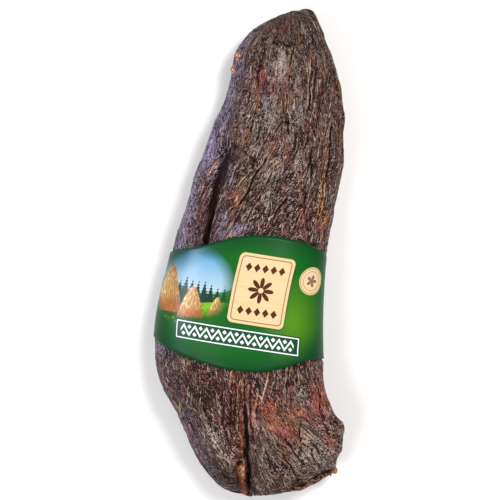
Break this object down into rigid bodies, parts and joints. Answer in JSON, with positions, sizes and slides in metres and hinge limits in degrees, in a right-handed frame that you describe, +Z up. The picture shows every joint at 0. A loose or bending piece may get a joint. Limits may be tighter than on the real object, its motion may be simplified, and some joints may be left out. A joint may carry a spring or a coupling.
{
  "type": "beef prosciutto",
  "caption": "Whole air-dried beef muscle, blunt at one end and narrow at the other, lying flat with a printed paper sleeve round its middle.",
  "frame": {"origin": "under the middle of the whole object's box, on the surface that it lies on", "axes": "+Y along the muscle towards its narrow end, +Z up through the shown side, +X to the right as the shown side is looked down on"},
  "size_m": [0.1486, 0.37, 0.069],
  "materials": {
    "dried_beef": "dry, fibrous and uneven, dark brown with grey bloom, red patches and amber fat",
    "printed_paper": "coated glossy paper printed in greens, with a cream panel and seal"
  },
  "bodies": {
    "root": {"meat": "dried_beef", "label_sleeve": "printed_paper"}
  },
  "joints": []
}
